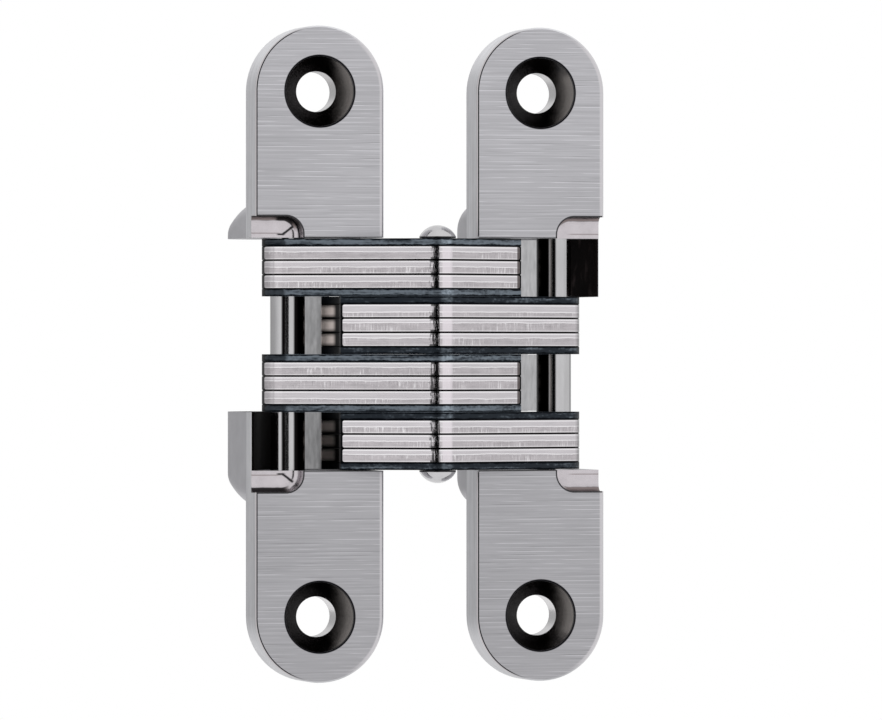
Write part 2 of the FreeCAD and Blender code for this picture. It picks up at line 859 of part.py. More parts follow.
def main():
    """Build, check and write every sub-part."""
    document, pieces, linkage = build()
    check(document, pieces)
    os.makedirs("parts", exist_ok=True)
    for piece in pieces:
        piece.Shape.exportStep(f"parts/{piece.Label}.step")
    print("left pivot", linkage.pivot, "turns by", linkage.pivot_turn)
    print("centre pivot", linkage.centre_open, "turns by", linkage.centre_turn)
    print("coupling", linkage.centre_turn / linkage.pivot_turn)


main()
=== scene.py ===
"""Finish of a concealed door-edge hinge: satin leaves, sheared link plates, polished pins.

X runs across the leaves, Y into the door and Z up. Lengths are in millimetres and angles in
degrees, unless a line says otherwise.
"""
import json
import logging
import math
from dataclasses import dataclass, field
from enum import Enum
from typing import Optional, Sequence, Union

import bpy
import bmesh
from mathutils import Matrix, Vector

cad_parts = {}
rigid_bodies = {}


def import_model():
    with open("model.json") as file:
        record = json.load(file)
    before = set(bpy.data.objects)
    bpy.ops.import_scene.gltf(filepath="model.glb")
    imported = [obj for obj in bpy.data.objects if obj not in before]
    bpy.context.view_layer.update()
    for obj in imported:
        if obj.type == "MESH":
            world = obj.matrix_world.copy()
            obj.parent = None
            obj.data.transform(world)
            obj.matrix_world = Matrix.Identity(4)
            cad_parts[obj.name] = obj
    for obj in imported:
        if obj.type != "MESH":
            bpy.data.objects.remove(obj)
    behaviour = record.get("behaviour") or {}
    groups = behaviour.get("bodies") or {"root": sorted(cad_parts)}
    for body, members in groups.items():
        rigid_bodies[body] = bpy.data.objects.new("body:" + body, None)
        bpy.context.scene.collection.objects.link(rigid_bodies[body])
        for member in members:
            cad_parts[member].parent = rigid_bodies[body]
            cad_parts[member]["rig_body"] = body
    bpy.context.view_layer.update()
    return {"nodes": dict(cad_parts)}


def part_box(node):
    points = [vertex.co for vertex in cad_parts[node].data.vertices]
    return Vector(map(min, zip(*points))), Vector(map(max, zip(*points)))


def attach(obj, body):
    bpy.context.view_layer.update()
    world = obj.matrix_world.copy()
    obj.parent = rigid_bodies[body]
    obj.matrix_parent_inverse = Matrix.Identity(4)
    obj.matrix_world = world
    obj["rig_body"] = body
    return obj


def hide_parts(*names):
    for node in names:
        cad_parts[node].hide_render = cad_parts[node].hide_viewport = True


MM = 0.001
LOG = logging.getLogger("hinge")

Colour = tuple[float, float, float]
Waves = tuple[float, float, float]  # a pattern's waves per millimetre along X, Y and Z
Span = tuple[float, float]  # where a smooth step starts and where it ends
Band = tuple[float, float, float]  # a stripe's two sides and the width of its soft edges
Place = tuple[float, float]  # a point, as its distances along two directions
PerSide = tuple[float, float]  # a value for the left side and one for the right
Panel = tuple[Span, Span]  # a light panel's two soft edges

NO_LIGHT: Colour = (0.0, 0.0, 0.0)

# A Mix node's sockets go by number, because their names repeat for each kind of value.
MIX_NUMBERS = (2, 3)
MIX_COLOURS = (6, 7)
MIX_COLOUR_RESULT = 2


class Side(Enum):
    """The two leaves; the value is the sign of their X."""

    LEFT = -1
    RIGHT = 1

    @property
    def word(self) -> str:
        """The side's name as the nodes spell it."""
        return self.name.lower()

    def pick(self, pair: PerSide) -> float:
        """The left or the right one of two values."""
        return pair[self is Side.RIGHT]


class Signal:
    """A shader value that can be used in sums and products."""

    def __init__(self, shader: "Shader", socket: bpy.types.NodeSocket) -> None:
        """Wrap an output socket of a shader's tree."""
        self.shader = shader
        self.socket = socket

    def _math(self, operation: str, *values: "Operand") -> "Signal":
        """Add a Math node that works on values in order."""
        return self.shader.node("ShaderNodeMath", {"operation": operation}, dict(enumerate(values)))

    def __add__(self, other: "Operand") -> "Signal":
        """This value plus another."""
        return self._math("ADD", self, other)

    def __radd__(self, other: float) -> "Signal":
        """A number plus this value."""
        return self._math("ADD", self, other)

    def __sub__(self, other: "Operand") -> "Signal":
        """This value less another."""
        return self._math("SUBTRACT", self, other)

    def __rsub__(self, other: float) -> "Signal":
        """A number less this value."""
        return self._math("SUBTRACT", other, self)

    def __mul__(self, other: "Operand") -> "Signal":
        """This value times another."""
        return self._math("MULTIPLY", self, other)

    def __rmul__(self, other: float) -> "Signal":
        """A number times this value."""
        return self._math("MULTIPLY", self, other)

    def __pow__(self, other: "Operand") -> "Signal":
        """This value to a power."""
        return self._math("POWER", self, other)

    def magnitude(self) -> "Signal":
        """This value without its sign."""
        return self._math("ABSOLUTE", self)

    def fraction(self) -> "Signal":
        """What is left of this value above the next lower whole number."""
        return self._math("FRACT", self)

    def least(self, other: "Operand") -> "Signal":
        """The lesser of this value and another."""
        return self._math("MINIMUM", self, other)

    def most(self, other: "Operand") -> "Signal":
        """The greater of this value and another."""
        return self._math("MAXIMUM", self, other)

    def distance(self, other: "Signal") -> "Signal":
        """How far from 0 a point is that this value and another give."""
        return (self * self + other * other) ** 0.5

    def turn(self, ahead: "Signal") -> "Signal":
        """The angle of a direction, in degrees, where this value is its sideways part."""
        return self._math("ARCTAN2", self, ahead) * math.degrees(1.0)

    def rise(self, start: float, end: float) -> "Signal":
        """A smooth step over this value.

        Args:
            start: Where the step is 0.
            end: Where it is 1, which may be the lower of the two.

        Returns:
            The step, from 0 to 1.
        """
        settings = {"interpolation_type": "SMOOTHSTEP", "clamp": True}
        inputs = {"Value": self, "From Min": start, "From Max": end, "To Min": 0.0, "To Max": 1.0}
        return self.shader.node("ShaderNodeMapRange", settings, inputs)

    def band(self, low: float, high: float, soft: float) -> "Signal":
        """A stripe that is 1 between two values and 0 outside.

        Args:
            low: The lower side.
            high: The upper side.
            soft: The width of its soft edges.

        Returns:
            The stripe.
        """
        half = soft / 2
        return self.rise(low - half, low + half) * self.rise(high + half, high - half)

    def inside_corner(self, other: "Signal", radius: float) -> "Signal":
        """Distance in from a rounded corner.

        Args:
            other: Distance in from the second straight side; this is that from the first.
            radius: The corner's radius.

        Returns:
            The distance, which stops growing at the radius.
        """
        return radius - (radius - self).most(0.0).distance((radius - other).most(0.0))


Operand = Union[Signal, float, int]
Input = Union[Signal, float, int, Sequence[float]]


class Shader:
    """A node tree with one way to add a node."""

    def __init__(self, tree: bpy.types.NodeTree) -> None:
        """Take over a material's or a world's node tree and empty it."""
        self.tree = tree
        tree.nodes.clear()

    def node(
        self,
        kind: str,
        settings: Optional[dict] = None,
        inputs: Optional[dict] = None,
        output: Union[int, str] = 0,
    ) -> Signal:
        """Add a node.

        Args:
            kind: The node's type name.
            settings: Its properties.
            inputs: Values or signals by socket name or number.
            output: The output socket that is wanted.

        Returns:
            The wanted output.
        """
        made = self.tree.nodes.new(kind)
        for name, value in (settings or {}).items():
            setattr(made, name, value)
        for key, value in (inputs or {}).items():
            if isinstance(value, Signal):
                self.tree.links.new(value.socket, made.inputs[key])
            else:
                made.inputs[key].default_value = value
        return Signal(self, made.outputs[output])

    def finish(self, kind: str, surface: Signal) -> None:
        """Join a surface to the tree's output node."""
        output = self.tree.nodes.new(kind)
        self.tree.links.new(surface.socket, output.inputs["Surface"])

    def split(self, vector: Signal) -> list[Signal]:
        """The X, Y and Z of a vector."""
        parts = self.node("ShaderNodeSeparateXYZ", inputs={0: vector}).socket.node.outputs
        return [Signal(self, parts[index]) for index in range(3)]

    def mix(self, factor: Operand, first: Input, second: Input) -> Signal:
        """Mix two colours: a factor of 0 gives the first and 1 the second."""
        inputs = {0: factor, MIX_COLOURS[0]: opaque(first), MIX_COLOURS[1]: opaque(second)}
        return self.node("ShaderNodeMix", {"data_type": "RGBA"}, inputs, MIX_COLOUR_RESULT)

    def blend(self, factor: Operand, first: Operand, second: Operand) -> Signal:
        """Mix two numbers: a factor of 0 gives the first and 1 the second."""
        inputs = {0: factor, MIX_NUMBERS[0]: first, MIX_NUMBERS[1]: second}
        return self.node("ShaderNodeMix", {"data_type": "FLOAT"}, inputs)

    def tone(self, colour: Input, value: Operand) -> Signal:
        """A colour made lighter or darker by a factor."""
        inputs = {"Color": opaque(colour), "Value": value}
        return self.node("ShaderNodeHueSaturation", inputs=inputs)

    def place(self) -> Signal:
        """The point on the piece, in millimetres."""
        inputs = {0: self.node("ShaderNodeTexCoord", output="Object"), "Scale": 1 / MM}
        return self.node("ShaderNodeVectorMath", {"operation": "SCALE"}, inputs)

    def moved(self, point: Signal, shift: Sequence[float]) -> Signal:
        """A point moved by a vector, so that two patterns differ."""
        return self.node("ShaderNodeVectorMath", {"operation": "ADD"}, {0: point, 1: shift})

    def noise(self, point: Signal, waves: Waves, detail: float) -> Signal:
        """Noise about 0.

        Args:
            point: The place on the piece, in millimetres.
            waves: Waves per millimetre along X, Y and Z.
            detail: How many finer octaves are added.

        Returns:
            The noise value, from about -0.5 to 0.5.
        """
        scale = {"Vector": point, "Scale": waves}
        mapped = self.node("ShaderNodeMapping", {"vector_type": "POINT"}, scale)
        inputs = {"Vector": mapped, "Scale": 1.0, "Detail": detail, "Roughness": 0.6}
        return self.node("ShaderNodeTexNoise", {"noise_dimensions": "3D"}, inputs) - 0.5

    def bump(self, height: Signal, depth: float) -> Signal:
        """Turn a height into a normal; depth is in metres."""
        inputs = {"Height": height, "Distance": depth}
        return self.node("ShaderNodeBump", inputs=inputs, output="Normal")


def opaque(value: Input) -> Input:
    """A colour with its alpha, or the signal as it is."""
    return value if isinstance(value, Signal) else (*value, 1.0)


@dataclass(frozen=True)
class Surface:
    """What one region of a piece looks like."""

    colour: Colour
    roughness: float
    metallic: float = 1.0


class Skin:
    """A material built up layer by layer, each laid over the last through a mask."""

    def __init__(self, name: str, base: Surface) -> None:
        """Start a material.

        Args:
            name: The material's name.
            base: What shows where no layer lies.
        """
        self.material = bpy.data.materials.new(name)
        self.material.use_nodes = True
        self.shader = Shader(self.material.node_tree)
        self.point = self.shader.place()
        self.pattern_point = self.point
        self.across, self.depth, self.height = self.shader.split(self.point)
        self.colour: Input = base.colour
        self.roughness: Operand = base.roughness
        self.metallic: Operand = base.metallic
        self.glow: Input = NO_LIGHT

    def noise(self, waves: Waves, detail: float) -> Signal:
        """Noise about 0 over the piece, with its waves and its finer octaves."""
        return self.shader.noise(self.pattern_point, waves, detail)

    def over(self, mask: Signal, surface: Surface, share: float = 1.0) -> None:
        """Lay a surface over what is there.

        Args:
            mask: 1 where the surface lies.
            surface: What is laid.
            share: How much it hides of what is under it.
        """
        cover = mask * share if share < 1.0 else mask
        self.tint(cover, surface.colour)
        self.roughness = self.shader.blend(cover, self.roughness, surface.roughness)
        self.metallic = self.shader.blend(cover, self.metallic, surface.metallic)

    def tint(self, mask: Signal, colour: Input, share: float = 1.0) -> None:
        """Change only the colour.

        Args:
            mask: 1 where the colour lies.
            colour: The new colour.
            share: How much it hides of what is under it.
        """
        cover = mask * share if share < 1.0 else mask
        self.colour = self.shader.mix(cover, self.colour, colour)

    def tone(self, value: Operand) -> None:
        """Make all of it lighter or darker."""
        self.colour = self.shader.tone(self.colour, value)

    def close(self, relief: Signal, depth: float) -> bpy.types.Material:
        """Finish the material.

        Args:
            relief: Height of the surface's grain.
            depth: What a height of 1 is, in metres.

        Returns:
            The material.
        """
        inputs = {
            "Base Color": opaque(self.colour),
            "Roughness": self.roughness,
            "Metallic": self.metallic,
            "Emission Color": opaque(self.glow),
            "Emission Strength": 1.0,
            "Normal": self.shader.bump(relief, depth),
        }
        surface = self.shader.node("ShaderNodeBsdfPrincipled", inputs=inputs)
        self.shader.finish("ShaderNodeOutputMaterial", surface)
        return self.material


class LeafSkin(Skin):
    """A leaf's material, with each point's place in the casting."""

    def __init__(self, casting: "LeafCasting", base: Surface) -> None:
        """Start the material.

        Args:
            casting: The leaf, for its sizes.
            base: What shows where no layer lies.
        """
        super().__init__(f"{casting.name}_finish", base)
        self.casting = casting
        self.inset = self.across.magnitude() - casting.half_gap
        self.level = self.height.magnitude()


@dataclass(frozen=True)
class LeafFinish:
    """Satin nickel casting: brushed face, plain sides, black countersinks, bright recess."""

    # face_top and face_bottom: painted shade, the face lighter at its top than at its bottom
    face_top: Colour = (0.50, 0.495, 0.52)
    face_bottom: Colour = (0.42, 0.415, 0.435)
    face_roughness: float = 0.34
    side: Surface = Surface((0.66, 0.66, 0.685), 0.42)
    cup: Surface = Surface((0.50, 0.495, 0.52), 0.45)
    # rim and east_rim: painted highlights along the face's rounded edge
    rim: Surface = Surface((0.56, 0.53, 0.545), 0.30)
    east_rim: Surface = Surface((0.66, 0.64, 0.66), 0.30)
    line: Surface = Surface((0.006, 0.006, 0.008), 0.35)
    sink: Surface = Surface((0.022, 0.02, 0.02), 0.16)
    sink_lit: Surface = Surface((0.20, 0.185, 0.178), 0.24)
    bore: Surface = Surface((0.62, 0.61, 0.62), 0.25)
    recess: Surface = Surface((0.56, 0.525, 0.55), 0.20)
    shade: Surface = Surface((0.19, 0.15, 0.145), 0.30)
    # wall: painted shade, near black inside the cup
    wall: Surface = Surface((0.006, 0.005, 0.005), 0.85)
    wear: Surface = Surface((0.045, 0.028, 0.027), 0.40)
    # strip and strip_glow: the ground strip at the rows' mouth glows as painted light
    strip: Surface = Surface((0.20, 0.20, 0.20), 0.60, 0.0)
    strip_glow: Colour = (0.395, 0.395, 0.403)

    streak_waves: Waves = (0.025, 0.4, 2.2)
    fine_waves: Waves = (0.06, 1.0, 5.0)
    drift_waves: Waves = (0.008, 0.1, 0.35)
    broken_waves: Waves = (0.10, 0.3, 1.7)
    face_cloud_waves: Waves = (0.05, 0.05, 0.08)
    drawn_waves: Waves = (0.25, 2.2, 0.05)
    side_cloud_waves: Waves = (0.35, 0.35, 0.35)
    cast_waves: Waves = (2.5, 2.5, 2.5)
    wander_waves: Waves = (0.5, 0.5, 0.5)
    patch_waves: Waves = (0.5, 0.5, 0.22)
    ground_waves: Waves = (2.2, 2.2, 0.5)
    mottle_waves: Waves = (0.8, 0.8, 0.8)
    relief_depth: float = 0.000012  # metres

    face_skin: Span = (0.12, 0.04)
    brush_lines: float = 1.65
    brush_pale: Band = (0.43, 0.55, 0.12)
    brush_dark: Band = (0.70, 0.84, 0.12)
    side_tone_per_height: float = 0.0026

    shade_end: Span = (0.62, 0.48)
    under_end: Span = (2.3, 1.3)
    under_lower: Span = (1.2, 2.4)
    wall_line: Band = (0.0, 0.16, 0.06)
    shade_line: Band = (0.54, 0.62, 0.08)
    fold: Band = (0.56, 0.72, 0.14)
    mark_start: Place = (2.38, 0.49)
    mark_slope: Place = (0.60, 0.80)
    mark_width: Band = (-0.17, 0.17, 0.2)
    mark_length: Band = (-0.1, 1.9, 0.3)
    tail_width: Band = (0.36, 0.60, 0.10)
    tail_length: Band = (2.1, 3.2, 0.5)
    corner_end: Span = (0.75, 0.55)
    corner_upper: Band = (0.9, 3.4, 0.6)
    corner_lower: Band = (1.5, 7.4, 0.6)

    least_wear: float = 0.14
    strip_soft: float = 0.4
    strip_light_per_height: float = 0.005
    left_strip_dim: Span = (5.4, 3.6)

    sink_lit_side: Span = (1.2, 3.6)
    sink_lip: float = 0.16

    west: Span = (-1.0, -5.0)
    east: Span = (3.0, 8.0)
    east_edge: Band = (-0.3, 0.6, 0.3)
    west_edge: Band = (-0.05, 0.12, 0.06)
    west_line: Band = (0.13, 0.27, 0.06)
    step_line: Band = (-0.2, 0.1, 0.08)
    mouth_line: Band = (-0.1, 0.13, 0.08)
    ring_line: Span = (0.22, 0.10)

    def make(self, casting: "LeafCasting") -> bpy.types.Material:
        """Make the casting's material.

        Args:
            casting: The leaf, for its sizes.

        Returns:
            The finished material.
        """
        skin = LeafSkin(casting, self.side)
        grain = self._lay_sides(skin)
        self._lay_recess(skin)
        self._lay_row(skin)
        self._lay_hole(skin)
        face = skin.depth.rise(*self.face_skin)
        brush = self._lay_brushing(skin, face)
        self._lay_edges(skin)
        self._lay_lines(skin, face)
        return skin.close(skin.shader.blend(face, grain, brush), self.relief_depth)

    def _lay_sides(self, skin: LeafSkin) -> Signal:
        """Sides of the plate with upright streaks, and the duller cup behind them.

        Args:
            skin: The leaf's material.

        Returns:
            The relief of the sides and the cup.
        """
        plate = skin.casting.plate
        behind = skin.depth.rise(plate - 0.14, plate - 0.06)
        drawn = skin.noise(self.drawn_waves, 3.0) * (1 - behind)
        cloud = skin.noise(self.side_cloud_waves, 3.0)
        cast = skin.noise(self.cast_waves, 3.0)
        skin.over(behind, self.cup)
        skin.tone(1 + drawn * 0.65 + cloud * 0.2 + skin.height * self.side_tone_per_height)
        return cloud * 0.3 + drawn * 0.3 + cast * 0.4

    def _lay_recess(self, skin: LeafSkin) -> None:
        """Polished step beside the links, shaded along its far wall and inner corner.

        Args:
            skin: The leaf's material.
        """
        casting = skin.casting
        floor = casting.recess_depth
        mouth = casting.pocket_half
        beyond = casting.recess_reach - skin.level
        inner = skin.inset - casting.recess_inset
        edge = inner.inside_corner(beyond, casting.recess_corner)
        step = (
            edge.rise(-0.10, 0.0)
            * skin.level.rise(mouth - 0.02, mouth + 0.02)
            * skin.depth.rise(0.06, 0.14)
            * skin.depth.rise(floor + 0.1, floor + 0.02)
        )
        wander = skin.noise(self.wander_waves, 3.0)
        rim = edge + wander * 0.25
        above = skin.level - mouth
        upper = skin.height.rise(-1.0, 1.0)
        under = (beyond + wander * 0.3).rise(*self.under_end)
        under = under * (upper + (1 - upper) * inner.rise(*self.under_lower))
        skin.over(step, self.recess)
        skin.tone(1 + step * wander * 0.35)
        skin.over(step * rim.rise(*self.shade_end) * under, self.shade, 0.9)
        skin.over(step * rim.band(*self.wall_line) * (upper * 0.7 + 0.3), self.line)
        skin.over(step * rim.band(*self.shade_line) * under, self.line, 0.55)
        skin.over(step * above.band(*self.fold) * inner.rise(2.0, 3.4), self.shade, 0.6)
        if casting.side is Side.LEFT:
            mark = self._mark(inner, above, wander)
            skin.over(step * mark, self.line, 0.95)
            corner = upper * inner.band(*self.corner_upper)
            corner = corner + (1 - upper) * inner.band(*self.corner_lower)
            skin.over(step * rim.rise(*self.corner_end) * corner * under, self.line, 0.9)

    def _mark(self, inner: Signal, above: Signal, wander: Signal) -> Signal:
        """Dark reflection that runs down the recess's floor and bends level at its end.

        Args:
            inner: Distance from the recess's inner end.
            above: Distance from its mouth by the row.
            wander: The pattern that bends its edges.

        Returns:
            Where the reflection lies.
        """
        far, near = self.mark_start
        level, steep = self.mark_slope
        across = (inner - far) * level + (above - near) * steep + wander * 0.3
        along = (far - inner) * steep + (above - near) * level
        slant = across.band(*self.mark_width) * along.band(*self.mark_length)
        return slant.most(above.band(*self.tail_width) * inner.band(*self.tail_length))

    def _lay_row(self, skin: LeafSkin) -> None:
        """Walls inside the cup painted near black as shade, with patches of wear and painted sheen,
        and the pale ground face at the rows' mouth, which glows as painted light.

        Args:
            skin: The leaf's material.
        """
        casting = skin.casting
        mouth = casting.pocket_half
        back = casting.cup_depth - skin.depth
        run = skin.depth - casting.plate
        sweep = casting.inner_sweep - (casting.inner_sweep**2 - run * run) ** 0.5
        inner = skin.inset - sweep * run.rise(-0.1, 0.1)
        inner = inner.inside_corner(back, casting.inner_corner)
        outer = (casting.width - skin.inset).inside_corner(back, casting.outer_corner)
        inside = (
            skin.level.rise(mouth + 0.02, mouth - 0.06)
            * skin.depth.rise(0.3, 0.5)
            * outer.rise(0.02, 0.08)
            * (1 - run.rise(0.0, 0.2) * inner.least(outer).rise(0.30, 0.18))
        )
        patches = skin.noise(self.patch_waves, 4.0)
        edge = casting.side.pick(casting.strip_inset)
        strip = inside * skin.inset.rise(edge + self.strip_soft, edge)
        ground = skin.noise(self.ground_waves, 4.0)
        worn = patches.rise(0.02, 0.25) * 0.6 + self.least_wear
        # Painted shade: the walls inside the cup are painted near black.
        skin.over(inside, self.wall)
        # Patches of wear and painted sheen on the cup's walls, much stronger on the right leaf.
        skin.over(inside * worn, self.wear, casting.side.pick(casting.wall_wear))
        skin.over(strip, self.strip)
        # Painted light: the ground strip glows, brighter on the right leaf and towards the top.
        skin.glow = skin.shader.mix(strip, NO_LIGHT, self.strip_glow)
        light = casting.side.pick(casting.strip_light)
        light = light + skin.height * self.strip_light_per_height + ground * 0.8
        if casting.side is Side.LEFT:
            light = light - skin.inset.rise(*self.left_strip_dim) * 0.4
        skin.glow = skin.shader.tone(skin.glow, light)

    def _lay_hole(self, skin: LeafSkin) -> None:
        """Black countersink, painted lighter on its east side and with a painted shade line along
        its east lip, with a bright bore behind it.

        Args:
            skin: The leaf's material.
        """
        casting = skin.casting
        wide = casting.sink_radius
        across = skin.inset - casting.width / 2
        radius = across.distance(skin.level - casting.screw_half_spacing)
        near = radius.rise(wide + 0.06, wide - 0.02)
        sink = near * skin.depth.band(0.06, casting.plate - 0.1, 0.06)
        bore = sink * skin.depth.rise(casting.bore_depth - 0.05, casting.bore_depth + 0.03)
        east = across * casting.side.value
        mottle = skin.noise(self.mottle_waves, 4.0)
        lip = radius.band(wide - self.sink_lip, wide, 0.08)
        skin.over(sink, self.sink)
        # Painted light on the countersink's east side and painted shade along its east lip.
        skin.over(sink * (east + mottle * 2.0).rise(*self.sink_lit_side), self.sink_lit)
        skin.over(sink * lip * east.rise(0.0, 2.0), self.line, 0.8)
        skin.over(bore, self.bore)

    def _lay_brushing(self, skin: LeafSkin, face: Signal) -> Signal:
        """Level brush marks on the face, with painted shade that makes it darker towards the
        bottom.

        Args:
            skin: The leaf's material.
            face: 1 on the face.

        Returns:
            The relief of the face.
        """
        shader = skin.shader
        end = skin.casting.half_length
        streaks = skin.noise(self.streak_waves, 3.0)
        fine = skin.noise(self.fine_waves, 2.0)
        drift = skin.noise(self.drift_waves, 1.0)
        broken = skin.noise(self.broken_waves, 2.0)
        cloud = skin.noise(self.face_cloud_waves, 2.0)
        lines = (skin.height * self.brush_lines + drift * 2.0).fraction()
        pale = lines.band(*self.brush_pale) * broken.rise(-0.06, 0.08)
        dark = lines.band(*self.brush_dark) * broken.rise(0.0, 0.14)
        marks = streaks * 0.2 + fine * 0.6 + cloud * 0.2 + pale * 0.42 - dark * 0.22 - 0.02
        # Painted shade: the face's colour runs from face_bottom up to the lighter face_top.
        colour = shader.mix(skin.height.rise(-end, end), self.face_bottom, self.face_top)
        skin.tint(face, shader.tone(colour, 1 + marks))
        skin.roughness = shader.blend(face, skin.roughness, self.face_roughness + fine * 0.25)
        return streaks * 0.5 + fine * 0.5

    def _lay_edges(self, skin: LeafSkin) -> None:
        """Painted highlight along the face's edge, with a painted dark reflection inside it on the
        west.

        Args:
            skin: The leaf's material.
        """
        casting = skin.casting
        mouth = casting.pocket_half
        middle = casting.width / 2
        across = skin.inset - middle
        round_end = (skin.level - casting.screw_half_spacing).most(0.0)
        reach = middle - across.distance(round_end)
        outward = across * casting.side.value
        skirt = skin.depth.rise(0.5, 0.42) * skin.level.rise(mouth, mouth + 0.4)
        west = outward.rise(*self.west) * skirt
        east = outward.rise(*self.east) * skirt
        # Painted highlights along the face's edge, and a painted dark reflection inside it on the
        # west.
        skin.over(east * reach.band(*self.east_edge), self.east_rim, 0.8)
        skin.over(west * reach.band(*self.west_edge), self.rim)
        skin.over(west * reach.band(*self.west_line), self.line)

    def _lay_lines(self, skin: LeafSkin, face: Signal) -> None:
        """Painted shade lines where the face meets the recess, the rows' mouth and the countersink.

        Args:
            skin: The leaf's material.
            face: 1 on the face.
        """
        casting = skin.casting
        inner = skin.inset - casting.recess_inset
        step = inner.inside_corner(casting.recess_reach - skin.level, casting.recess_corner)
        mouth = skin.level - casting.pocket_half
        across = skin.inset - casting.width / 2
        ring = across.distance(skin.level - casting.screw_half_spacing) - casting.sink_radius
        # Painted shade: dark lines along the recess, the rows' mouth and round the countersink.
        skin.over(face * step.band(*self.step_line), self.line, 0.9)
        skin.over(face * mouth.band(*self.mouth_line), self.line, 0.85)
        skin.over(face * ring.rise(*self.ring_line), self.line)


class PlateSkin(Skin):
    """A plate's material, with each point's place on the plate."""

    def __init__(self, plate: "Plate", base: Surface) -> None:
        """Start the material.

        Args:
            plate: The plate, for its sizes and its place in the row.
            base: What shows where no layer lies.
        """
        super().__init__(f"{plate.name}_finish", base)
        self.plate = plate
        shift = (plate.shift, 0.0, plate.shift * 2.3)
        self.pattern_point = self.shader.moved(self.point, shift)
        self.run = self.across * plate.hand
        self.tip = plate.tip - self.run
        self.up = self.height - plate.low
        self.down = plate.high - self.height
        self.edge = self.up.least(self.down)


class LinkGrain:
    """The patterns that a link plate's sheared edge is drawn with."""

    def __init__(self, skin: PlateSkin) -> None:
        """Add the patterns.

        Args:
            skin: The plate's material.
        """
        self.wave = skin.noise((0.16, 0.16, 0.16), 2.0)
        self.ripple = skin.noise((1.5, 1.5, 1.5), 3.0)
        self.streaks = skin.noise((0.22, 0.22, 6.0), 3.0)
        self.patches = skin.noise((0.5, 0.5, 1.2), 4.0)
        self.strokes = skin.noise((4.5, 4.5, 0.45), 3.0)
        self.rough = skin.noise((0.13, 0.13, 0.6), 2.0).rise(-0.12, 0.16)


